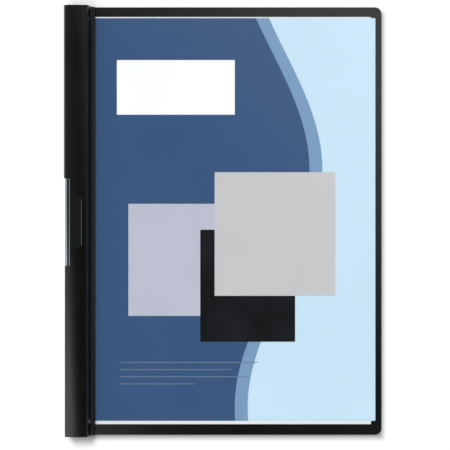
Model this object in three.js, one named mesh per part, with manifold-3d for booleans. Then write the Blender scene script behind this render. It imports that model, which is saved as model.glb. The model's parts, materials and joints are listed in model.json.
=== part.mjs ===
// A swing-clip report cover for letter paper, lying on its back.
// Millimetres. +X runs from the spine to the fore edge, +Y up the page, +Z up from the table.
// The origin is at the middle of the back panel's underside.
import * as THREE from "three";
import { mergeVertices } from "three/addons/utils/BufferGeometryUtils.js";
import Module from "manifold-3d";

const wasm = await Module();
wasm.setup();

// Driving dimensions

// Outline of the two covers. Only the fore edge has rounded corners.
const cover = { width: 220.1, height: 297.6, cornerRadius: 4.5 };
const boardThickness = 0.6;
const filmThickness = 0.25;

// Black sheet folded over the rail: a left wall, a slightly domed roof, a shoulder and a sloping flange.
// Below the notch the roof's left edge stands in a little.
const spine = {
  rollRadius: 2.0,
  dome: 0.4,
  roofClearance: 1.6,
  roofOverhang: 2.45,
  shoulderRun: 3.75,
  flangeWidth: 1.5,
  flangeFall: 0.3,
  shoulderStart: 1.8,
  shoulderEnd: 1.9,
  shoulderFall: 0.35,
  lowerTrim: 0.9,
};

// Steel channel with a round back, a narrow shelf, a low ridge and a lip that grips the sheets.
const rail = {
  thickness: 0.5,
  height: 5.0,
  width: 12.25,
  wallHeight: 3.2,
  backRun: 1.6,
  shelfRun: 1.05,
  ridgeHeight: 0.2,
  ridgeRun: 0.25,
  cornerRadius: 0.8,
  lipRadius: 1.4,
  footGap: 3.4,
  headGap: 3.5,
};

// Rivet that the rail swings on, and the round lug of the rail's floor around it.
const pivot = {
  dropFromTop: 111.85,
  inset: 5.45,
  lugRadius: 4.0,
  shankRadius: 1.2,
  headRadius: 2.4,
  headThickness: 0.3,
  recessDepth: 0.3,
};

// Long shallow cut in the spine's left edge, and the deeper finger cut in the roof.
const notch = { depth: 4.8, length: 60.3, dropBelowPivot: 7.55 };
const fingerCut = { depth: 8.8, outerLength: 43.1, innerLength: 31.0, drop: 8.75, cornerRadius: 1.6 };

// Printed sheet and the plain sheets behind it, as margins to the cover's edges.
const titleSheet = { thickness: 0.2, top: 7.7, right: 4.25, bottom: 9.9 };
const pages = { thickness: 0.5, top: 6.65, right: 7.35, bottom: 7.05 };
const sheetBendRun = 5.3;

// Clearances
const runningGap = 0.3;
const paperGap = 0.05;
const rivetGap = 0.1;
const holeGap = 0.1;
const recessGap = 0.3;
const sheetEdgeGap = 0.35;
const bendMargin = 0.6;
const filmGap = 0.375;
const slitGap = 0.4;
const wallGap = 0.5;

// How finely round stretches are divided, and how far a cutter reaches past what it cuts.
const arcSteps = 10;
const roundSteps = 48;
const cutterReach = 2;

// Points closer than this are one point, and a sharp bend's inner corner reaches no further than this allows.
const samePlace = 1e-5;
const sharpestBend = 0.5;

// Places worked out from the sizes
const left = -cover.width / 2;
const right = cover.width / 2;
const top = cover.height / 2;
const foot = -cover.height / 2;

const railBack = left + boardThickness + runningGap;
const railTip = railBack + rail.width;
const railBottom = boardThickness + runningGap;
const railFloor = railBottom + rail.thickness;
const railTop = railBottom + rail.height;

const pivotX = railBack + pivot.inset;
const pivotY = top - pivot.dropFromTop;
const railHeadY = pivotY - rail.headGap;
const railFootY = foot + rail.footGap;

const notchTopY = pivotY - notch.dropBelowPivot;
const notchFootY = notchTopY - notch.length;

const rivetHeadBottom = railFloor + rivetGap;
const rivetHeadTop = rivetHeadBottom + pivot.headThickness;

const sheetsLeft = railBack + rail.thickness + sheetEdgeGap;
const bendStart = railTip + bendMargin;
const bendEnd = bendStart + sheetBendRun;

// Each sheet has two levels: held up in the rail, and lying on the back panel.
const pagesHeld = rivetHeadTop + rivetGap;
const pagesLying = boardThickness + paperGap;
const titleHeld = pagesHeld + pages.thickness + paperGap;
const titleLying = pagesLying + pages.thickness + paperGap;
const lipBottom = titleHeld + titleSheet.thickness + runningGap;

const filmBottom = titleLying + titleSheet.thickness + filmGap;
const hingeZ = filmBottom + filmThickness / 2;
const flangeTop = hingeZ + boardThickness / 2;
const shoulderFoot = flangeTop + spine.flangeFall;

const slitTop = railTop + slitGap;
const wallStartY = pivotY + pivot.lugRadius + wallGap;
const roofEdge = railTop + spine.roofClearance + boardThickness;
const spineTop = roofEdge + spine.dome;
const shoulderX = railTip + spine.roofOverhang;
const spineFootX = shoulderX + spine.shoulderRun;
const flangeEnd = spineFootX + spine.flangeWidth;
const hingeX = flangeEnd + runningGap;
const filmStart = hingeX + runningGap;

// Solids and meshes

function toSolid(geometry) {
  geometry.deleteAttribute("normal");
  geometry.deleteAttribute("uv");
  const merged = mergeVertices(geometry, samePlace);
  const mesh = new wasm.Mesh({
    numProp: 3,
    vertProperties: new Float32Array(merged.attributes.position.array),
    triVerts: new Uint32Array(merged.index.array),
  });
  return new wasm.Manifold(mesh);
}

function toGeometry(solid) {
  const mesh = solid.getMesh();
  const geometry = new THREE.BufferGeometry();
  geometry.setAttribute("position", new THREE.BufferAttribute(mesh.vertProperties, 3));
  geometry.setIndex(new THREE.BufferAttribute(mesh.triVerts, 1));
  geometry.computeVertexNormals();
  return geometry;
}

function node(name, geometry, look) {
  const mesh = new THREE.Mesh(geometry, new THREE.MeshStandardMaterial(look));
  mesh.name = name;
  return mesh;
}

// A flat outline in X and Y, raised to a plate that starts at the given level.
function plate(outline, level, thickness) {
  const options = { depth: thickness, bevelEnabled: false, curveSegments: arcSteps };
  const geometry = new THREE.ExtrudeGeometry(outline, options);
  geometry.translate(0, 0, level);
  return geometry;
}

// A section drawn in X and Z, run along Y between two places.
function runAlongY(section, startY, endY) {
  const options = { depth: endY - startY, bevelEnabled: false, curveSegments: arcSteps };
  const geometry = new THREE.ExtrudeGeometry(section, options);
  geometry.rotateX(Math.PI / 2);
  geometry.translate(0, endY, 0);
  return geometry;
}

function rectangle(x0, y0, x1, y1) {
  const outline = new THREE.Shape();
  outline.moveTo(x0, y0);
  outline.lineTo(x1, y0);
  outline.lineTo(x1, y1);
  outline.lineTo(x0, y1);
  outline.closePath();
  return outline;
}

function roundPlate(x, y, radius, level, thickness) {
  const geometry = new THREE.CylinderGeometry(radius, radius, thickness, roundSteps);
  geometry.rotateX(Math.PI / 2);
  geometry.translate(x, y, level + thickness / 2);
  return geometry;
}

// A sheet of even thickness that follows a path, on the right-hand side of the path's travel.
function ribbon(points, thickness) {
  const count = points.length;
  const directions = points.slice(1).map((point, i) => point.clone().sub(points[i]).normalize());
  const inner = points.map((point, i) => {
    const before = directions[Math.max(i - 1, 0)];
    const after = directions[Math.min(i, count - 2)];
    const middle = before.clone().add(after).normalize();
    const normal = new THREE.Vector2(middle.y, -middle.x);
    const stretch = 1 / Math.max(middle.dot(after), sharpestBend);
    return point.clone().addScaledVector(normal, thickness * stretch);
  });
  return new THREE.Shape([...points, ...inner.reverse()]);
}

// Cover outline with rounded corners at the fore edge only.
function coverOutline(startX) {
  const r = cover.cornerRadius;
  const outline = new THREE.Shape();
  outline.moveTo(startX, foot);
  outline.lineTo(right - r, foot);
  outline.absarc(right - r, foot + r, r, -Math.PI / 2, 0, false);
  outline.lineTo(right, top - r);
  outline.absarc(right - r, top - r, r, 0, Math.PI / 2, false);
  outline.lineTo(startX, top);
  outline.closePath();
  return outline;
}

// Back panel, spine wall, roof, shoulder and flange: one folded sheet

function spineSection() {
  const r = spine.rollRadius;
  const path = new THREE.Path();
  path.moveTo(left, 0);
  path.lineTo(left, roofEdge - r);
  path.absarc(left + r, roofEdge - r, r, Math.PI, Math.PI / 2, true);
  path.quadraticCurveTo((left + shoulderX) / 2, roofEdge + 2 * spine.dome, shoulderX, roofEdge);
  path.bezierCurveTo(
    shoulderX + spine.shoulderStart, roofEdge,
    spineFootX - spine.shoulderEnd, shoulderFoot + spine.shoulderFall,
    spineFootX, shoulderFoot,
  );
  path.lineTo(flangeEnd, flangeTop);
  return ribbon(path.getPoints(arcSteps), boardThickness);
}

function notchCutter() {
  const notchX = left + notch.depth;
  const outerTopY = notchTopY - fingerCut.drop;
  const outerFootY = outerTopY - fingerCut.outerLength;
  const slant = (fingerCut.outerLength - fingerCut.innerLength) / 2;
  const innerX = notchX + fingerCut.depth;
  const innerTopY = outerTopY - slant;
  const innerFootY = outerFootY + slant;
  const r = fingerCut.cornerRadius;
  const ease = r * slant / fingerCut.depth;
  const outline = new THREE.Shape();
  outline.moveTo(left - cutterReach, notchFootY);
  outline.lineTo(notchX, notchFootY);
  outline.lineTo(notchX, outerFootY);
  outline.lineTo(innerX - r, innerFootY - ease);
  outline.quadraticCurveTo(innerX, innerFootY, innerX, innerFootY + r);
  outline.lineTo(innerX, innerTopY - r);
  outline.quadraticCurveTo(innerX, innerTopY, innerX - r, innerTopY + ease);
  outline.lineTo(notchX, outerTopY);
  outline.lineTo(notchX, notchTopY);
  outline.lineTo(left - cutterReach, notchTopY);
  outline.closePath();
  return plate(outline, railTop, spineTop - railTop + cutterReach);
}

function makeBackCover() {
  const panel = toSolid(plate(coverOutline(left), 0, boardThickness));
  const wrap = toSolid(runAlongY(spineSection(), foot, top));
  const slitOutline = rectangle(left - cutterReach, foot - cutterReach, railBack, wallStartY);
  const slit = toSolid(plate(slitOutline, boardThickness, slitTop - boardThickness));
  const trimOutline = rectangle(left - cutterReach, foot - cutterReach, left + spine.lowerTrim, notchFootY);
  const trim = toSolid(plate(trimOutline, boardThickness, spineTop));
  const recess = toSolid(roundPlate(
    pivotX, pivotY, pivot.headRadius + recessGap, -cutterReach, cutterReach + pivot.recessDepth,
  ));
  const hole = toSolid(roundPlate(
    pivotX, pivotY, pivot.shankRadius + holeGap, -cutterReach, boardThickness + 2 * cutterReach,
  ));
  const body = [slit, trim, toSolid(notchCutter()), recess, hole].reduce(
    (solid, cutter) => solid.subtract(cutter), panel.add(wrap),
  );
  return node("back_cover", toGeometry(body), { color: 0x1c1c1c, roughness: 0.42, metalness: 0 });
}

// Clear front cover

function makeFrontCover() {
  const look = { color: 0xf4f8fa, roughness: 0.05, metalness: 0, transparent: true, opacity: 0.15 };
  return node("front_cover", plate(coverOutline(filmStart), filmBottom, filmThickness), look);
}

// Clamp rail with its lug

function railSection() {
  const r = rail.cornerRadius;
  const ridgeX = railBack + rail.backRun + rail.shelfRun;
  const backTop = railTop - rail.ridgeHeight;
  const path = new THREE.Path();
  path.moveTo(railTip, railBottom);
  path.lineTo(railBack + r, railBottom);
  path.absarc(railBack + r, railBottom + r, r, -Math.PI / 2, -Math.PI, true);
  path.lineTo(railBack, railBottom + rail.wallHeight);
  path.quadraticCurveTo(railBack, backTop, railBack + rail.backRun, backTop);
  path.lineTo(ridgeX, backTop);
  path.lineTo(ridgeX + rail.ridgeRun, railTop);
  path.lineTo(railTip - rail.lipRadius, railTop);
  path.absarc(railTip - rail.lipRadius, railTop - rail.lipRadius, rail.lipRadius, Math.PI / 2, 0, true);
  path.lineTo(railTip, lipBottom);
  return ribbon(path.getPoints(arcSteps), rail.thickness);
}

function makeClampRail() {
  const channel = toSolid(runAlongY(railSection(), railFootY, railHeadY));
  const neckOutline = rectangle(
    pivotX - pivot.lugRadius, railHeadY - pivot.lugRadius, pivotX + pivot.lugRadius, pivotY,
  );
  const neck = toSolid(plate(neckOutline, railBottom, rail.thickness));
  const lug = toSolid(roundPlate(pivotX, pivotY, pivot.lugRadius, railBottom, rail.thickness));
  const hole = toSolid(roundPlate(
    pivotX, pivotY, pivot.shankRadius + holeGap, 0, railFloor + cutterReach,
  ));
  const body = channel.add(neck).add(lug).subtract(hole);
  return node("clamp_rail", toGeometry(body), { color: 0x6d7479, roughness: 0.18, metalness: 1 });
}

function makePivotRivet() {
  const lowerHeadTop = pivot.recessDepth - paperGap;
  const profile = [
    [0, paperGap],
    [pivot.headRadius, paperGap],
    [pivot.headRadius, lowerHeadTop],
    [pivot.shankRadius, lowerHeadTop],
    [pivot.shankRadius, rivetHeadBottom],
    [pivot.headRadius, rivetHeadBottom],
    [pivot.headRadius, rivetHeadTop],
    [0, rivetHeadTop],
  ].map(([radius, level]) => new THREE.Vector2(radius, level));
  const geometry = new THREE.LatheGeometry(profile, roundSteps);
  geometry.rotateX(Math.PI / 2);
  geometry.translate(pivotX, pivotY, 0);
  return node("pivot_rivet", toGeometry(toSolid(geometry)), { color: 0x8a8f93, roughness: 0.3, metalness: 1 });
}

// Sheets held in the rail, which bend down onto the back panel beside it

function sheetSection(heldLevel, lyingLevel, thickness, endX) {
  const middle = (bendStart + bendEnd) / 2;
  const path = new THREE.Path();
  path.moveTo(sheetsLeft, heldLevel + thickness);
  path.lineTo(bendStart, heldLevel + thickness);
  path.bezierCurveTo(middle, heldLevel + thickness, middle, lyingLevel + thickness, bendEnd, lyingLevel + thickness);
  path.lineTo(endX, lyingLevel + thickness);
  const upper = path.getPoints(arcSteps);
  const lower = upper.map((point) => new THREE.Vector2(point.x, point.y - thickness));
  return new THREE.Shape([...upper, ...lower.reverse()]);
}

function makeTitleSheet() {
  const section = sheetSection(titleHeld, titleLying, titleSheet.thickness, right - titleSheet.right);
  const geometry = runAlongY(section, foot + titleSheet.bottom, top - titleSheet.top);
  return node("title_sheet", geometry, { color: 0x8fb4d4, roughness: 0.6, metalness: 0 });
}

function makeWhiteSheets() {
  const section = sheetSection(pagesHeld, pagesLying, pages.thickness, right - pages.right);
  const geometry = runAlongY(section, foot + pages.bottom, top - pages.top);
  return node("white_sheets", geometry, { color: 0xf3f4f5, roughness: 0.8, metalness: 0 });
}

const reportCover = new THREE.Group();
reportCover.add(
  makeBackCover(),
  makeFrontCover(),
  makeClampRail(),
  makePivotRivet(),
  makeTitleSheet(),
  makeWhiteSheets(),
);

export default reportCover;
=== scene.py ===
"""The looks of a swing-clip report cover: black folded board, clear front, steel rail and paper."""

import json
import logging
import math
from dataclasses import dataclass, field
from enum import Enum
from typing import Callable, Sequence

import bmesh
import bpy
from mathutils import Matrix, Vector

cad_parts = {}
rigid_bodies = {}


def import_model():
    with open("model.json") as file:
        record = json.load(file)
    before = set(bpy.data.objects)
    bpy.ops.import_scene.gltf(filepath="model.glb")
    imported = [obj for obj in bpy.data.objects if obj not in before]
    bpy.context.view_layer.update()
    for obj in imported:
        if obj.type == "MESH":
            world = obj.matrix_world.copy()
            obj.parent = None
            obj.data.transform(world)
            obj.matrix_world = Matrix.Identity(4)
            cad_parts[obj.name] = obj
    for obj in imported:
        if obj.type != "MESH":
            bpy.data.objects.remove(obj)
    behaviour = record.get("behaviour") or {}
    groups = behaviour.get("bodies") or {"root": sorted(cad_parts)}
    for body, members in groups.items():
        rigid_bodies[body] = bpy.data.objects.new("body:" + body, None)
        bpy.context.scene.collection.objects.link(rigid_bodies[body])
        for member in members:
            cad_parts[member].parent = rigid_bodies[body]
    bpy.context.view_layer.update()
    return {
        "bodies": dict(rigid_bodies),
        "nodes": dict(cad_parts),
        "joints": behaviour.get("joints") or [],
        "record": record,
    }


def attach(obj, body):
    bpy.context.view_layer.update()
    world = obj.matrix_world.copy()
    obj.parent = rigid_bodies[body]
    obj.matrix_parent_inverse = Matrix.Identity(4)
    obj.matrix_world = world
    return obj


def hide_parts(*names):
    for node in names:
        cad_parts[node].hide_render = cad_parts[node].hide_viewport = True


logging.basicConfig(level=logging.INFO, format="%(name)s: %(message)s")
log = logging.getLogger("report_cover")

MM = 0.001

MITRE_LIMIT = 0.5
BEVEL_ANGLE = 38.0
SHARP_ANGLE = 25.0
MOTTLE_LOW = 0.3
MOTTLE_HIGH = 0.7
GRAIN_DEPTH = 0.0001

Point2 = tuple[float, float]
Colour = tuple[float, float, float]


class Body(Enum):
    """The bodies of the record that a piece may ride on."""

    BACK = "back"
    RAIL = "rail"
    FRONT = "front"


def quadratic(a: Point2, b: Point2, c: Point2, steps: int) -> list[Point2]:
    """Sample a quadratic curve, without its first point.

    Args:
        a: Start.
        b: Control point.
        c: End.
        steps: Number of stretches.

    Returns:
        The points after the start.
    """
    points = []
    for i in range(1, steps + 1):
        t = i / steps
        weights = ((1 - t) ** 2, 2 * t * (1 - t), t * t)
        points.append(tuple(sum(w * p[k] for w, p in zip(weights, (a, b, c))) for k in (0, 1)))
    return points


def cubic(a: Point2, b: Point2, c: Point2, d: Point2, steps: int) -> list[Point2]:
    """Sample a cubic curve, without its first point.

    Args:
        a: Start.
        b: First control point.
        c: Second control point.
        d: End.
        steps: Number of stretches.

    Returns:
        The points after the start.
    """
    points = []
    for i in range(1, steps + 1):
        t = i / steps
        weights = ((1 - t) ** 3, 3 * t * (1 - t) ** 2, 3 * t * t * (1 - t), t ** 3)
        points.append(tuple(sum(w * p[k] for w, p in zip(weights, (a, b, c, d))) for k in (0, 1)))
    return points


def arc(centre: Point2, radius: float, start: float, end: float, steps: int) -> list[Point2]:
    """Sample an arc with both of its ends.

    Args:
        centre: Middle of the arc.
        radius: Radius of the arc.
        start: First angle, in degrees.
        end: Last angle, in degrees.
        steps: Number of stretches.

    Returns:
        The points from start to end.
    """
    angles = [math.radians(start + (end - start) * i / steps) for i in range(steps + 1)]
    return [(centre[0] + radius * math.cos(a), centre[1] + radius * math.sin(a)) for a in angles]


def ribbon(path: Sequence[Point2], thickness: float) -> list[Point2]:
    """Give a path an even thickness on the right-hand side of its travel, with its sharpest mitres cut short.

    Args:
        path: Points of the outer side.
        thickness: Thickness of the strip.

    Returns:
        The closed outline of the strip.
    """
    points = [Vector(p) for p in path]
    ways = [(b - a).normalized() for a, b in zip(points, points[1:])]
    inner = []
    for i, point in enumerate(points):
        before = ways[max(i - 1, 0)]
        after = ways[min(i, len(ways) - 1)]
        middle = (before + after).normalized()
        normal = Vector((middle.y, -middle.x))
        inner.append(point + normal * thickness / max(middle.dot(after), MITRE_LIMIT))
    return [tuple(p) for p in points] + [tuple(p) for p in reversed(inner)]


def prism(name: str, outline: Sequence[Point2], place: Callable[[float, float, float], Vector],
          low: float, high: float) -> bpy.types.Object:
    """Raise a flat outline to a closed solid.

    Args:
        name: Name of the object and its mesh.
        outline: Points of the outline, in millimetres.
        place: Turns an outline point and a height into a place.
        low: Height of the first face.
        high: Height of the second face.

    Returns:
        The solid as an object in metres.
    """
    mesh = bpy.data.meshes.new(name)
    work = bmesh.new()
    first = [work.verts.new(place(a, b, low) * MM) for a, b in outline]
    second = [work.verts.new(place(a, b, high) * MM) for a, b in outline]
    work.faces.new(first)
    work.faces.new(second)
    for i in range(len(outline)):
        j = (i + 1) % len(outline)
        work.faces.new((first[i], first[j], second[j], second[i]))
    bmesh.ops.recalc_face_normals(work, faces=work.faces)
    work.to_mesh(mesh)
    work.free()
    solid = bpy.data.objects.new(name, mesh)
    bpy.context.scene.collection.objects.link(solid)
    return solid


def upright(a: float, b: float, height: float) -> Vector:
    """Place an outline drawn in X and Y at a height along Z."""
    return Vector((a, b, height))


def lengthwise(a: float, b: float, height: float) -> Vector:
    """Place an outline drawn in X and Z at a height along Y."""
    return Vector((a, height, b))


def combine(solid: bpy.types.Object, others: Sequence[bpy.types.Object], operation: str) -> None:
    """Cut other solids from a solid, or join them to it, and delete them.

    Args:
        solid: The solid that is changed.
        others: The solids that cut or join.
        operation: DIFFERENCE or UNION.
    """
    for other in others:
        modifier = solid.modifiers.new(operation, "BOOLEAN")
        modifier.operation = operation
        modifier.solver = "EXACT"
        modifier.object = other
        settle(solid)
        bpy.data.objects.remove(other, do_unlink=True)


def settle(piece: bpy.types.Object) -> None:
    """Turn a piece's live modifiers into plain mesh."""
    graph = bpy.context.evaluated_depsgraph_get()
    graph.update()
    mesh = bpy.data.meshes.new_from_object(piece.evaluated_get(graph))
    piece.modifiers.clear()
    piece.data = mesh


def round_edges(piece: bpy.types.Object, width: float, segments: int = 2) -> None:
    """Round a piece's sharp edges a little and shade it smooth between them.

    Args:
        piece: The piece.
        width: Width of the rounded edge, in millimetres.
        segments: Faces across the rounded edge.
    """
    bevel = piece.modifiers.new("rounded edges", "BEVEL")
    bevel.width = width * MM
    bevel.segments = segments
    bevel.limit_method = "ANGLE"
    bevel.angle_limit = math.radians(BEVEL_ANGLE)
    bevel.harden_normals = False
    settle(piece)
    smooth(piece)


def smooth(piece: bpy.types.Object) -> None:
    """Shade a piece smooth between its sharp edges, with its large faces kept flat."""
    piece.data.shade_smooth()
    piece.data.set_sharp_from_angle(angle=math.radians(SHARP_ANGLE))
    weighted = piece.modifiers.new("weighted normals", "WEIGHTED_NORMAL")
    weighted.keep_sharp = True
    settle(piece)


class Tree:
    """A small helper that adds nodes to a shader tree and joins them."""

    def __init__(self, tree: bpy.types.NodeTree) -> None:
        """Keep the tree that nodes are added to."""
        self.tree = tree

    def add(self, kind: str, inputs: dict[str | int, object] | None = None,
            **settings: object) -> bpy.types.Node:
        """Add a node and set or join its inputs.

        Args:
            kind: Node type.
            inputs: Value or source socket for each input.
            settings: Attributes of the node.

        Returns:
            The new node.
        """
        node = self.tree.nodes.new(kind)
        for key, value in settings.items():
            setattr(node, key, value)
        for key, value in (inputs or {}).items():
            if isinstance(value, bpy.types.NodeSocket):
                self.tree.links.new(value, node.inputs[key])
            else:
                node.inputs[key].default_value = value
        return node

    def math(self, operation: str, a: object, b: object = 0.0, c: object = 0.0) -> bpy.types.NodeSocket:
        """Add a Math node and return its output."""
        return self.add("ShaderNodeMath", {0: a, 1: b, 2: c}, operation=operation).outputs[0]

    def mix(self, amount: object, a: object, b: object) -> bpy.types.NodeSocket:
        """Mix two colours and return the result."""
        node = self.add("ShaderNodeMix", {0: amount}, data_type="RGBA")
        for socket, value in zip((node.inputs[6], node.inputs[7]), (a, b)):
            if isinstance(value, bpy.types.NodeSocket):
                self.tree.links.new(value, socket)
            else:
                socket.default_value = (*value, 1.0)
        return node.outputs[2]

    def ramp(self, value: object, low: float, high: float,
             to_low: float = 0.0, to_high: float = 1.0) -> bpy.types.NodeSocket:
        """Map a value smoothly from one range to another and return the result."""
        node = self.add(
            "ShaderNodeMapRange",
            {0: value, 1: low, 2: high, 3: to_low, 4: to_high},
            interpolation_type="SMOOTHSTEP",
        )
        return node.outputs[0]


def make_group(name: str, inputs: dict[str, tuple[str, object]], outputs: dict[str, str],
               fill: Callable[[Tree, bpy.types.Node, bpy.types.Node], None]) -> bpy.types.NodeTree:
    """Build a shader node group.

    Args:
        name: Name of the group.
        inputs: Socket type and default for each input.
        outputs: Socket type for each output.
        fill: Adds the nodes between the group's input and output nodes.

    Returns:
        The node group.
    """
    group = bpy.data.node_groups.new(name, "ShaderNodeTree")
    for label, (kind, default) in inputs.items():
        socket = group.interface.new_socket(label, in_out="INPUT", socket_type=kind)
        if default is not None:
            socket.default_value = default
    for label, kind in outputs.items():
        group.interface.new_socket(label, in_out="OUTPUT", socket_type=kind)
    start = group.nodes.new("NodeGroupInput")
    end = group.nodes.new("NodeGroupOutput")
    fill(Tree(group), start, end)
    return group


class Effects:
    """The shader node groups that more than one finish uses."""

    def __init__(self) -> None:
        """Build every group once."""
        number = "NodeSocketFloat"
        self.grain = make_group(
            "fine grain",
            {"Place": ("NodeSocketVector", None), "Scale": (number, 900.0), "Mottle Scale": (number, 25.0)},
            {"Height": number, "Mottle": number},
            self._fill_grain,
        )
        self.panel = make_group(
            "printed rectangle",
            {"Place": ("NodeSocketVector", None), "Low X": (number, 0.0), "High X": (number, 0.1),
             "Low Y": (number, 0.0), "High Y": (number, 0.1)},
            {"Mask": number},
            self._fill_panel,
        )

    @staticmethod
    def _fill_grain(tree: Tree, start: bpy.types.Node, end: bpy.types.Node) -> None:
        """Fine noise for bump, and slow noise for colour and gloss."""
        fine = tree.add("ShaderNodeTexNoise", {"Vector": start.outputs["Place"],
                                               "Scale": start.outputs["Scale"],
                                               "Detail": 3.0, "Roughness": 0.6})
        slow = tree.add("ShaderNodeTexNoise", {"Vector": start.outputs["Place"],
                                               "Scale": start.outputs["Mottle Scale"], "Detail": 4.0})
        tree.tree.links.new(fine.outputs[0], end.inputs["Height"])
        tree.tree.links.new(slow.outputs[0], end.inputs["Mottle"])

    @staticmethod
    def _fill_panel(tree: Tree, start: bpy.types.Node, end: bpy.types.Node) -> None:
        """One where the place lies between the four sides, with crisp edges."""
        split = tree.add("ShaderNodeSeparateXYZ", {0: start.outputs["Place"]})
        sides = [
            tree.math("GREATER_THAN", split.outputs[0], start.outputs["Low X"]),
            tree.math("LESS_THAN", split.outputs[0], start.outputs["High X"]),
            tree.math("GREATER_THAN", split.outputs[1], start.outputs["Low Y"]),
            tree.math("LESS_THAN", split.outputs[1], start.outputs["High Y"]),
        ]
        across = tree.math("MULTIPLY", sides[0], sides[1])
        along = tree.math("MULTIPLY", sides[2], sides[3])
        tree.tree.links.new(tree.math("MULTIPLY", across, along), end.inputs["Mask"])


def new_material(name: str) -> tuple[bpy.types.Material, Tree, bpy.types.Node, bpy.types.NodeSocket]:
    """Start a node material.

    Args:
        name: Name of the material.

    Returns:
        The material, its tree, its Principled node and the Object coordinates.
    """
    material = bpy.data.materials.new(name)
    material.use_nodes = True
    tree = Tree(material.node_tree)
    shader = material.node_tree.nodes["Principled BSDF"]
    place = tree.add("ShaderNodeTexCoord").outputs["Object"]
    return material, tree, shader, place


@dataclass(frozen=True)
class GrainFinish:
    """A plain finish with fine grain and a slow change of tone."""

    name: str
    dark: Colour
    light: Colour
    roughness_low: float
    roughness_high: float
    metallic: float = 0.0
    specular: float = 0.5
    scale: float = 900.0
    mottle_scale: float = 25.0
    bump: float = 0.05
    stretch: tuple[float, float, float] = (1.0, 1.0, 1.0)

    def material(self, effects: Effects) -> bpy.types.Material:
        """Build the material.

        Args:
            effects: The shared node groups.

        Returns:
            The material.
        """
        material, tree, shader, place = new_material(self.name)
        mapped = tree.add("ShaderNodeMapping", {"Vector": place, "Scale": self.stretch})
        grain = tree.add("ShaderNodeGroup", node_tree=effects.grain)
        tree.tree.links.new(mapped.outputs[0], grain.inputs["Place"])
        grain.inputs["Scale"].default_value = self.scale
        grain.inputs["Mottle Scale"].default_value = self.mottle_scale
        colour = tree.mix(grain.outputs["Mottle"], self.dark, self.light)
        tree.tree.links.new(colour, shader.inputs["Base Color"])
        rough = tree.ramp(grain.outputs["Mottle"], MOTTLE_LOW, MOTTLE_HIGH,
                          self.roughness_low, self.roughness_high)
        tree.tree.links.new(rough, shader.inputs["Roughness"])
        bump = tree.add("ShaderNodeBump", {"Height": grain.outputs["Height"], "Strength": self.bump,
                                           "Distance": GRAIN_DEPTH})
        tree.tree.links.new(bump.outputs[0], shader.inputs["Normal"])
        shader.inputs["Metallic"].default_value = self.metallic
        shader.inputs["Specular IOR Level"].default_value = self.specular
        return material


@dataclass(frozen=True)
class ClearFilmFinish:
    """Clear film: it mirrors a small share of the room face on, and most of it at a flat angle."""

    name: str = "clear film"
    colour: Colour = (0.93, 0.96, 1.0)
    facing_alpha: float = 0.025
    edge_alpha: float = 0.35
    roughness: float = 0.06
    facing_blend: float = 0.35
    alpha_start: float = 0.25
    alpha_end: float = 1.0
    wave_scale: float = 9.0
    wave_detail: float = 1.0
    wave_strength: float = 0.15
    wave_depth: float = 2.0

    def material(self) -> bpy.types.Material:
        """Build the material."""
        material, tree, shader, place = new_material(self.name)
        shader.inputs["Base Color"].default_value = (*self.colour, 1.0)
        shader.inputs["Roughness"].default_value = self.roughness
        shader.inputs["Metallic"].default_value = 1.0
        weight = tree.add("ShaderNodeLayerWeight", {"Blend": self.facing_blend})
        alpha = tree.ramp(weight.outputs["Facing"], self.alpha_start, self.alpha_end,
                          self.facing_alpha, self.edge_alpha)
        tree.tree.links.new(alpha, shader.inputs["Alpha"])
        wave = tree.add("ShaderNodeTexNoise", {"Vector": place, "Scale": self.wave_scale,
                                               "Detail": self.wave_detail})
        bump = tree.add("ShaderNodeBump", {"Height": wave.outputs[0], "Strength": self.wave_strength,
                                           "Distance": self.wave_depth * MM})
        tree.tree.links.new(bump.outputs[0], shader.inputs["Normal"])
        return material


@dataclass(frozen=True)
class PrintedPanel:
    """One flat rectangle of the print, in millimetres of the cover's frame."""

    low: Point2
    high: Point2
    colour: Colour


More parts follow.
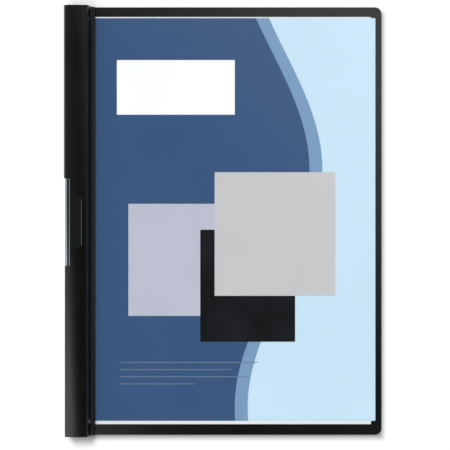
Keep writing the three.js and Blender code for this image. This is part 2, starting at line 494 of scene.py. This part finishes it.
@dataclass(frozen=True)
class PrintFinish:
    """A plain printed design: two blue fields with a waving border, and bare panels."""

    name: str = "printed sheet"
    pale: Colour = (0.53, 0.70, 0.82)
    deep: Colour = (0.037, 0.0852, 0.190)
    middle: Colour = (0.178, 0.303, 0.463)
    slate: Colour = (0.14, 0.19, 0.26)
    slate_share: float = 0.04
    roughness: float = 0.5
    bump: float = 0.04
    specular: float = 0.06
    wave_centre: float = 34.0
    wave_depth: float = 26.0
    wave_length: float = 330.0
    wave_shift: float = 0.9
    band_width: float = 9.0
    panels: tuple[PrintedPanel, ...] = (
        PrintedPanel((-66.0, -66.0), (12.0, 12.0), (0.46, 0.476, 0.564)),
        PrintedPanel((-16.0, -84.0), (50.0, -6.0), (0.006, 0.006, 0.007)),
        PrintedPanel((-6.0, -52.0), (78.0, 34.0), (0.52, 0.525, 0.535)),
        PrintedPanel((-74.0, 74.0), (8.0, 112.0), (0.88, 0.89, 0.90)),
    )
    rule_left: float = -72.0
    rule_top: float = -98.0
    rule_step: float = 5.0
    rule_height: float = 0.6
    rule_lengths: tuple[float, ...] = (96.0, 78.0, 88.0, 52.0)

    def material(self, effects: Effects) -> bpy.types.Material:
        """Build the material.

        Args:
            effects: The shared node groups.

        Returns:
            The material.
        """
        material, tree, shader, place = new_material(self.name)
        split = tree.add("ShaderNodeSeparateXYZ", {0: place})
        turns = 2 * math.pi / (self.wave_length * MM)
        turn = tree.math("MULTIPLY_ADD", split.outputs[1], turns, self.wave_shift)
        wave = tree.math("SINE", turn)
        border = tree.math("MULTIPLY_ADD", wave, self.wave_depth * MM, self.wave_centre * MM)
        distance = tree.math("SUBTRACT", split.outputs[0], border)
        colour = tree.mix(tree.math("GREATER_THAN", distance, 0.0), self.deep, self.middle)
        colour = tree.mix(tree.math("GREATER_THAN", distance, self.band_width * MM), colour, self.pale)
        for panel in self.panels + self._rules():
            colour = tree.mix(self._mask(tree, effects, place, panel), colour, panel.colour)
        grain = tree.add("ShaderNodeGroup", node_tree=effects.grain)
        tree.tree.links.new(place, grain.inputs["Place"])
        tone = tree.ramp(grain.outputs["Mottle"], MOTTLE_LOW, MOTTLE_HIGH, 0.0, self.slate_share)
        colour = tree.mix(tone, colour, self.slate)
        tree.tree.links.new(colour, shader.inputs["Base Color"])
        shader.inputs["Roughness"].default_value = self.roughness
        shader.inputs["Specular IOR Level"].default_value = self.specular
        bump = tree.add("ShaderNodeBump", {"Height": grain.outputs["Height"], "Strength": self.bump,
                                           "Distance": GRAIN_DEPTH})
        tree.tree.links.new(bump.outputs[0], shader.inputs["Normal"])
        return material

    def _rules(self) -> tuple[PrintedPanel, ...]:
        """Return the thin plain rules in the lower part of the sheet."""
        rules = []
        for i, length in enumerate(self.rule_lengths):
            y = self.rule_top - i * self.rule_step
            low = (self.rule_left, y - self.rule_height)
            high = (self.rule_left + length, y)
            rules.append(PrintedPanel(low, high, self.slate))
        return tuple(rules)

    @staticmethod
    def _mask(tree: Tree, effects: Effects, place: bpy.types.NodeSocket,
              panel: PrintedPanel) -> bpy.types.NodeSocket:
        """Return the mask of one printed rectangle."""
        node = tree.add("ShaderNodeGroup", node_tree=effects.panel)
        tree.tree.links.new(place, node.inputs["Place"])
        for label, value in zip(("Low X", "Low Y", "High X", "High Y"), (*panel.low, *panel.high)):
            node.inputs[label].default_value = value * MM
        return node.outputs["Mask"]


def finish_piece(piece: bpy.types.Object, material: bpy.types.Material, body: Body, slot: str,
                 *nodes: str) -> None:
    """Dress a piece, tie it to its body and let it stand for its solids.

    Args:
        piece: The piece.
        material: Its material.
        body: The body that it rides on.
        slot: The record's material slot; not used.
        nodes: The solids that it replaces.
    """
    piece.data.materials.clear()
    piece.data.materials.append(material)
    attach(piece, body.value)
    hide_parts(*nodes)
    log.info("%s: %d faces", piece.name, len(piece.data.polygons))


@dataclass
class Sizes:
    """Sizes that the pieces share, in millimetres."""

    width: float = 220.1
    height: float = 297.6
    corner: float = 4.5
    board: float = 0.6
    film: float = 0.25
    running_gap: float = 0.3
    rail_thickness: float = 0.5
    rail_height: float = 5.0
    rail_width: float = 12.25
    pivot_drop: float = 111.85
    pivot_inset: float = 5.45
    lug_radius: float = 4.0
    shank_radius: float = 1.2
    shank_gap: float = 0.1
    arc_steps: int = 14
    circle_steps: int = 48

    @property
    def left(self) -> float:
        """Return the spine's outer side."""
        return -self.width / 2

    @property
    def right(self) -> float:
        """Return the fore edge."""
        return self.width / 2

    @property
    def top(self) -> float:
        """Return the covers' upper edge."""
        return self.height / 2

    @property
    def foot(self) -> float:
        """Return the covers' lower edge."""
        return -self.height / 2

    @property
    def rail_back(self) -> float:
        """Return the outer side of the rail's back wall."""
        return self.left + self.board + self.running_gap

    @property
    def rail_tip(self) -> float:
        """Return the outer side of the rail's lip."""
        return self.rail_back + self.rail_width

    @property
    def rail_bottom(self) -> float:
        """Return the level of the rail's underside."""
        return self.board + self.running_gap

    @property
    def rail_top(self) -> float:
        """Return the level of the rail's flat front."""
        return self.rail_bottom + self.rail_height

    @property
    def pivot(self) -> Point2:
        """Return the place of the rivet."""
        return self.rail_back + self.pivot_inset, self.top - self.pivot_drop

    def cover_outline(self, start: float) -> list[Point2]:
        """Return a cover's outline from a place beside the spine, with rounded fore corners."""
        r = self.corner
        steps = self.arc_steps
        lower = arc((self.right - r, self.foot + r), r, -90, 0, steps)
        upper = arc((self.right - r, self.top - r), r, 0, 90, steps)
        return [(start, self.foot), *lower, *upper, (start, self.top)]


@dataclass
class FoldedBack:
    """The black sheet: back panel, spine wall, roof, shoulder and flange, with its cuts."""

    sizes: Sizes
    roll_radius: float = 2.0
    dome: float = 0.4
    roof_clearance: float = 1.6
    roof_overhang: float = 2.45
    shoulder_run: float = 3.75
    shoulder_start: float = 1.8
    shoulder_end: float = 1.9
    shoulder_fall: float = 0.35
    flange_width: float = 1.5
    flange_fall: float = 0.3
    hinge_level: float = 1.9
    slit_gap: float = 0.4
    wall_gap: float = 0.5
    notch_depth: float = 4.8
    notch_length: float = 60.3
    notch_drop: float = 7.55
    finger_depth: float = 8.8
    finger_outer: float = 43.1
    finger_inner: float = 31.0
    finger_drop: float = 8.75
    lower_trim: float = 0.9
    finger_corner: float = 1.6
    recess_radius: float = 2.7
    recess_depth: float = 0.3
    reach: float = 2.0
    edge: float = 0.2
    corner_steps: int = 6

    def section(self) -> list[Point2]:
        """Return the outline of the sheet's section above the panel, in X and Z."""
        s = self.sizes
        roof = s.rail_top + self.roof_clearance + s.board
        shoulder = s.rail_tip + self.roof_overhang
        foot = shoulder + self.shoulder_run
        flange = self.hinge_level + s.board / 2
        r = self.roll_radius
        path: list[Point2] = [(s.left, 0.0)]
        path += arc((s.left + r, roof - r), r, 180, 90, s.arc_steps)
        middle = ((s.left + shoulder) / 2, roof + 2 * self.dome)
        path += quadratic(path[-1], middle, (shoulder, roof), 2 * s.arc_steps)
        control_a = (shoulder + self.shoulder_start, roof)
        level = flange + self.flange_fall
        control_b = (foot - self.shoulder_end, level + self.shoulder_fall)
        path += cubic(path[-1], control_a, control_b, (foot, level), 2 * s.arc_steps)
        path.append((foot + self.flange_width, flange))
        return ribbon(path, s.board)

    def notch_outline(self) -> list[Point2]:
        """Return the outline of the edge notch and the finger cut, in X and Y."""
        s = self.sizes
        outer = s.left - self.reach
        x = s.left + self.notch_depth
        notch_top = s.pivot[1] - self.notch_drop
        notch_foot = notch_top - self.notch_length
        cut_top = notch_top - self.finger_drop
        cut_foot = cut_top - self.finger_outer
        slant = (self.finger_outer - self.finger_inner) / 2
        inner = x + self.finger_depth
        r = self.finger_corner
        ease = r * slant / self.finger_depth
        outline: list[Point2] = [(outer, notch_foot), (x, notch_foot), (x, cut_foot)]
        outline.append((inner - r, cut_foot + slant - ease))
        corner = (inner, cut_foot + slant)
        outline += quadratic(outline[-1], corner, (inner, corner[1] + r), self.corner_steps)
        outline.append((inner, cut_top - slant - r))
        corner = (inner, cut_top - slant)
        outline += quadratic(outline[-1], corner, (inner - r, corner[1] + ease), self.corner_steps)
        outline += [(x, cut_top), (x, notch_top), (outer, notch_top)]
        return outline

    def build(self) -> bpy.types.Object:
        """Build the sheet with its slit, notch, recess and rivet hole."""
        s = self.sizes
        piece = prism("folded_back_cover", s.cover_outline(s.left), upright, 0.0, s.board)
        wrap = prism("wrap", self.section(), lengthwise, s.foot, s.top)
        combine(piece, [wrap], "UNION")
        slit_top = s.rail_top + self.slit_gap
        wall_start = s.pivot[1] + s.lug_radius + self.wall_gap
        outer = s.left - self.reach
        slit_outline = [(outer, s.foot - self.reach), (s.rail_back, s.foot - self.reach),
                        (s.rail_back, wall_start), (outer, wall_start)]
        high = s.rail_top + 2 * self.reach + self.roof_clearance
        trim_end = s.left + self.lower_trim
        notch_foot = s.pivot[1] - self.notch_drop - self.notch_length
        trim_outline = [(outer, s.foot - self.reach), (trim_end, s.foot - self.reach),
                        (trim_end, notch_foot), (outer, notch_foot)]
        recess = arc(s.pivot, self.recess_radius, 0, 360, s.circle_steps)[:-1]
        hole = arc(s.pivot, s.shank_radius + s.shank_gap, 0, 360, s.circle_steps)[:-1]
        combine(piece, [
            prism("slit", slit_outline, upright, s.board, slit_top),
            prism("trim", trim_outline, upright, s.board, high),
            prism("notch", self.notch_outline(), upright, s.rail_top, high),
            prism("recess", recess, upright, -self.reach, self.recess_depth),
            prism("hole", hole, upright, -self.reach, s.board + self.reach),
        ], "DIFFERENCE")
        round_edges(piece, self.edge, 3)
        return piece


@dataclass
class ClampRail:
    """The steel channel with its round back, narrow shelf, low ridge, grip lip and round lug."""

    sizes: Sizes
    wall_height: float = 3.2
    back_run: float = 1.6
    shelf_run: float = 1.05
    ridge_height: float = 0.2
    ridge_run: float = 0.25
    corner: float = 0.8
    lip_radius: float = 1.4
    lip_level: float = 2.95
    foot_gap: float = 3.4
    head_gap: float = 3.5
    cut_reach: float = 1.0
    lug_steps: int = 32
    edge: float = 0.1

    def section(self) -> list[Point2]:
        """Return the outline of the channel's section, in X and Z."""
        s = self.sizes
        steps = s.arc_steps
        back = s.rail_back
        r = self.corner
        wall_top = (back, s.rail_bottom + self.wall_height)
        back_top = s.rail_top - self.ridge_height
        bend = (back + self.back_run, back_top)
        path: list[Point2] = [(s.rail_tip, s.rail_bottom)]
        path += arc((back + r, s.rail_bottom + r), r, -90, -180, steps)
        path.append(wall_top)
        path += quadratic(wall_top, (back, back_top), bend, 2 * steps)
        ridge = bend[0] + self.shelf_run
        path += [(ridge, back_top), (ridge + self.ridge_run, s.rail_top)]
        tip = self.lip_radius
        path += arc((s.rail_tip - tip, s.rail_top - tip), tip, 90, 0, steps)
        path.append((s.rail_tip, self.lip_level))
        return ribbon(path, s.rail_thickness)

    def build(self) -> bpy.types.Object:
        """Build the rail."""
        s = self.sizes
        x, y = s.pivot
        head = y - self.head_gap
        piece = prism("steel_clamp_rail", self.section(), lengthwise, s.foot + self.foot_gap, head)
        floor = s.rail_bottom + s.rail_thickness
        r = s.lug_radius
        lug_outline = [(x - r, head - r), (x + r, head - r), *arc((x, y), r, 0, 180, self.lug_steps)]
        combine(piece, [prism("lug", lug_outline, upright, s.rail_bottom, floor)], "UNION")
        hole = arc((x, y), s.shank_radius + s.shank_gap, 0, 360, s.circle_steps)[:-1]
        combine(piece, [prism("hole", hole, upright, 0.0, floor + self.cut_reach)], "DIFFERENCE")
        round_edges(piece, self.edge)
        return piece


@dataclass
class ClearFront:
    """The clear film over the front."""

    sizes: Sizes
    start: float = -88.6
    level: float = 1.775
    edge: float = 0.06

    def build(self) -> bpy.types.Object:
        """Build the film."""
        s = self.sizes
        outline = s.cover_outline(self.start)
        piece = prism("clear_front_cover", outline, upright, self.level, self.level + s.film)
        round_edges(piece, self.edge)
        return piece


@dataclass
class PaperSheets:
    """The printed sheet and the staggered white sheets, held in the rail and bent down beside it."""

    sizes: Sizes
    edge_gap: float = 0.35
    bend_margin: float = 0.6
    bend_run: float = 5.3
    title_held: float = 2.45
    title_lying: float = 1.2
    title_thickness: float = 0.2
    title_margins: tuple[float, float, float] = (7.7, 4.25, 9.9)
    pages_held: float = 1.9
    pages_lying: float = 0.65
    page_thickness: float = 0.09
    page_step: float = 0.1
    page_count: int = 5
    page_shift: float = 0.45
    page_seed: int = 7
    page_margins: tuple[float, float, float] = (7.15, 7.7, 7.4)

    def _sheet(self, name: str, held: float, lying: float, thickness: float,
               margins: tuple[float, float, float]) -> bpy.types.Object:
        """Build one bent sheet.

        Args:
            name: Name of the sheet.
            held: Level of its underside in the rail.
            lying: Level of its underside on the back panel.
            thickness: Thickness of the sheet.
            margins: Distances from the covers' top, fore edge and foot.

        Returns:
            The sheet.
        """
        s = self.sizes
        start = s.rail_tip + self.bend_margin
        end = start + self.bend_run
        middle = (start + end) / 2
        top, right, bottom = margins
        path: list[Point2] = [(s.rail_back + s.rail_thickness + self.edge_gap, held), (start, held)]
        path += cubic(path[-1], (middle, held), (middle, lying), (end, lying), 2 * s.arc_steps)
        path.append((s.right - right, lying))
        upper = [(x, z + thickness) for x, z in reversed(path)]
        sheet = prism(name, path + upper, lengthwise, s.foot + bottom, s.top - top)
        smooth(sheet)
        return sheet

    def build_title(self) -> bpy.types.Object:
        """Build the printed sheet."""
        return self._sheet("printed_title_sheet", self.title_held, self.title_lying, self.title_thickness,
                           self.title_margins)

    def build_pages(self, material: bpy.types.Material) -> bpy.types.Object:
        """Build the white sheets as copies of one sheet, each a little shifted.

        Args:
            material: The paper's material, which the node tree sets.

        Returns:
            The stack as one piece.
        """
        stack = self._sheet("white_paper_sheets", self.pages_held, self.pages_lying, self.page_thickness,
                            self.page_margins)
        modifier = stack.modifiers.new("stack", "NODES")
        modifier.node_group = self._stack_tree()
        values = {"Count": self.page_count, "Step": self.page_step * MM, "Shift": self.page_shift * MM,
                  "Seed": self.page_seed, "Material": material}
        for item in modifier.node_group.interface.items_tree:
            if item.in_out == "INPUT" and item.name in values:
                modifier[item.identifier] = values[item.name]
        settle(stack)
        return stack

    @staticmethod
    def _stack_tree() -> bpy.types.NodeTree:
        """Build the node tree that repeats a sheet upwards with small seeded shifts."""
        tree = bpy.data.node_groups.new("paper stack", "GeometryNodeTree")
        tree.interface.new_socket("Geometry", in_out="INPUT", socket_type="NodeSocketGeometry")
        sockets = {"Count": "NodeSocketInt", "Step": "NodeSocketFloat", "Shift": "NodeSocketFloat",
                   "Seed": "NodeSocketInt", "Material": "NodeSocketMaterial"}
        for label, kind in sockets.items():
            tree.interface.new_socket(label, in_out="INPUT", socket_type=kind)
        tree.interface.new_socket("Geometry", in_out="OUTPUT", socket_type="NodeSocketGeometry")
        nodes, link = tree.nodes, tree.links.new
        start, end = nodes.new("NodeGroupInput"), nodes.new("NodeGroupOutput")
        line = nodes.new("GeometryNodeMeshLine")
        rise = nodes.new("ShaderNodeCombineXYZ")
        link(start.outputs["Step"], rise.inputs["Z"])
        link(rise.outputs[0], line.inputs["Offset"])
        link(start.outputs["Count"], line.inputs["Count"])
        random = nodes.new("FunctionNodeRandomValue")
        random.data_type = "FLOAT_VECTOR"
        random.inputs["Min"].default_value = (-1.0, -1.0, 0.0)
        random.inputs["Max"].default_value = (1.0, 1.0, 0.0)
        link(start.outputs["Seed"], random.inputs["Seed"])
        scaled = nodes.new("ShaderNodeVectorMath")
        scaled.operation = "SCALE"
        link(random.outputs["Value"], scaled.inputs[0])
        link(start.outputs["Shift"], scaled.inputs["Scale"])
        shifted = nodes.new("GeometryNodeSetPosition")
        link(line.outputs["Mesh"], shifted.inputs["Geometry"])
        link(scaled.outputs["Vector"], shifted.inputs["Offset"])
        copies = nodes.new("GeometryNodeInstanceOnPoints")
        link(shifted.outputs["Geometry"], copies.inputs["Points"])
        link(start.outputs["Geometry"], copies.inputs["Instance"])
        real = nodes.new("GeometryNodeRealizeInstances")
        link(copies.outputs["Instances"], real.inputs["Geometry"])
        dress = nodes.new("GeometryNodeSetMaterial")
        link(real.outputs["Geometry"], dress.inputs["Geometry"])
        link(start.outputs["Material"], dress.inputs["Material"])
        link(dress.outputs["Geometry"], end.inputs["Geometry"])
        return tree


@dataclass
class Studio:
    """Camera, floor, sun and sky around the cover."""

    centre: Point2 = (1.21, -2.75)
    plane_level: float = 2.0
    distance: float = 650.0
    picture_width: float = 312.75
    sensor: float = 36.0
    view_limit: float = 10000.0
    floor_half: float = 1500.0
    floor_depth: float = 20.0
    shadow_low: Point2 = (-108.0, -151.9)
    shadow_high: Point2 = (111.7, 145.7)
    shadow_soft: float = 3.1
    shadow_share: float = 0.60
    floor_colour: Colour = (0.86, 0.86, 0.86)
    sun_strength: float = 2.4
    sun_angle: float = 24.0
    sun_from: tuple[float, float, float] = (-0.38, 0.62, 0.70)
    zenith: float = 0.010
    horizon: float = 1.14
    horizon_lean: float = -0.7
    sheen: float = 0.56
    sheen_rise: Point2 = (0.0, 0.26)
    sheen_drop: Point2 = (0.30, 0.40)
    sheen_towards: tuple[float, float, float] = (0.8, 0.6, 0.0)
    reflector: float = 1.5
    reflector_edge: Point2 = (0.855, 0.885)
    reflector_towards: tuple[float, float, float] = (-0.5, -0.5, 0.7)

    def build_camera(self) -> None:
        """Place the camera straight above the cover."""
        data = bpy.data.cameras.new("camera")
        data.sensor_width = self.sensor
        data.lens = self.sensor * self.distance / self.picture_width
        data.clip_end = self.view_limit * MM
        camera = bpy.data.objects.new("camera", data)
        camera.location = Vector((*self.centre, self.plane_level + self.distance)) * MM
        bpy.context.scene.collection.objects.link(camera)
        bpy.context.scene.camera = camera

    def build_floor(self) -> None:
        """Lay the white floor, darkened softly beside the covers' edges like a shadow."""
        h = self.floor_half
        outline = [(-h, -h), (h, -h), (h, h), (-h, h)]
        floor = prism("floor", outline, upright, -self.floor_depth, 0.0)
        material, tree, shader, place = new_material("white floor")
        split = tree.add("ShaderNodeSeparateXYZ", {0: place})
        soft = self.shadow_soft * MM
        shade: object = self.shadow_share
        for axis in (0, 1):
            low, high = self.shadow_low[axis] * MM, self.shadow_high[axis] * MM
            shade = tree.math("MULTIPLY", shade, tree.ramp(split.outputs[axis], low - soft, low + soft))
            shade = tree.math("MULTIPLY", shade, tree.ramp(split.outputs[axis], high + soft, high - soft))
        colour = tree.mix(shade, self.floor_colour, (0.0, 0.0, 0.0))
        tree.tree.links.new(colour, shader.inputs["Base Color"])
        shader.inputs["Roughness"].default_value = 1.0
        shader.inputs["Specular IOR Level"].default_value = 0.0
        floor.data.materials.append(material)

    def build_lights(self) -> None:
        """Place the sun and build the sky."""
        data = bpy.data.lights.new("sun", "SUN")
        data.energy = self.sun_strength
        data.angle = math.radians(self.sun_angle)
        sun = bpy.data.objects.new("sun", data)
        sun.rotation_euler = Vector(self.sun_from).to_track_quat("Z", "Y").to_euler()
        bpy.context.scene.collection.objects.link(sun)
        world = bpy.data.worlds.new("sky")
        bpy.context.scene.world = world
        world.use_nodes = True
        tree = Tree(world.node_tree)
        way = tree.add("ShaderNodeTexCoord").outputs["Generated"]
        split = tree.add("ShaderNodeSeparateXYZ", {0: way})
        level = tree.math("ABSOLUTE", split.outputs[2])
        side = tree.math("SUBTRACT", 1.0, level)
        lean = tree.math("MULTIPLY_ADD", split.outputs[0], self.horizon_lean, 1.0)
        side = tree.math("MULTIPLY", side, lean)
        strength = tree.math("MULTIPLY_ADD", side, self.horizon - self.zenith, self.zenith)
        glows = (
            (self.sheen_towards, self.sheen_rise, self.sheen),
            (self.sheen_towards, self.sheen_drop, -self.sheen),
            (self.reflector_towards, self.reflector_edge, self.reflector),
        )
        for aim, (start, end), amount in glows:
            towards = tree.add("ShaderNodeVectorMath", {0: way, 1: Vector(aim).normalized()},
                               operation="DOT_PRODUCT")
            glow = tree.ramp(towards.outputs["Value"], start, end, 0.0, amount)
            strength = tree.math("ADD", strength, glow)
        background = world.node_tree.nodes["Background"]
        tree.tree.links.new(strength, background.inputs["Strength"])
        background.inputs["Color"].default_value = (1.0, 1.0, 1.0, 1.0)


@dataclass
class ReportCover:
    """The whole cover, built and dressed piece by piece."""

    sizes: Sizes = field(default_factory=Sizes)

    def build(self, frame: dict) -> None:
        """Build every piece.

        Args:
            frame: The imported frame, for the solids that stay.
        """
        effects = Effects()
        black = GrainFinish(
            "satin black board", (0.0014, 0.0014, 0.0015), (0.0022, 0.0022, 0.0024), 0.17, 0.22,
            specular=0.55, scale=2600.0, mottle_scale=18.0, bump=0.10,
        ).material(effects)
        steel = GrainFinish(
            "bright rolled steel", (0.23, 0.27, 0.28), (0.34, 0.38, 0.39), 0.08, 0.13, metallic=1.0,
            scale=1800.0, mottle_scale=60.0, bump=0.02, stretch=(1.0, 0.05, 1.0),
        ).material(effects)
        plain_steel = GrainFinish(
            "plain steel", (0.42, 0.42, 0.42), (0.55, 0.55, 0.55), 0.28, 0.4, metallic=1.0,
        ).material(effects)
        paper = GrainFinish(
            "white paper", (0.70, 0.73, 0.76), (0.76, 0.79, 0.81), 0.75, 0.9,
            specular=0.1, scale=1500.0, mottle_scale=60.0, bump=0.2,
        ).material(effects)
        finish_piece(FoldedBack(self.sizes).build(), black, Body.BACK, "black_board", "back_cover")
        finish_piece(ClampRail(self.sizes).build(), steel, Body.RAIL, "rail_steel", "clamp_rail")
        finish_piece(ClearFront(self.sizes).build(), ClearFilmFinish().material(), Body.FRONT, "clear_film",
                     "front_cover")
        sheets = PaperSheets(self.sizes)
        finish_piece(sheets.build_title(), PrintFinish().material(effects), Body.BACK, "printed_paper",
                     "title_sheet")
        finish_piece(sheets.build_pages(paper), paper, Body.BACK, "white_paper", "white_sheets")
        rivet = frame["nodes"]["pivot_rivet"]
        rivet.data.materials.clear()
        rivet.data.materials.append(plain_steel)
        log.info("pivot_rivet: kept from the frame")


def main() -> None:
    """Load the frame, and build the studio and the cover."""
    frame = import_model()
    bpy.context.scene.view_settings.view_transform = "Standard"
    studio = Studio()
    studio.build_camera()
    studio.build_floor()
    studio.build_lights()
    ReportCover().build(frame)


if __name__ == "__main__":
    main()
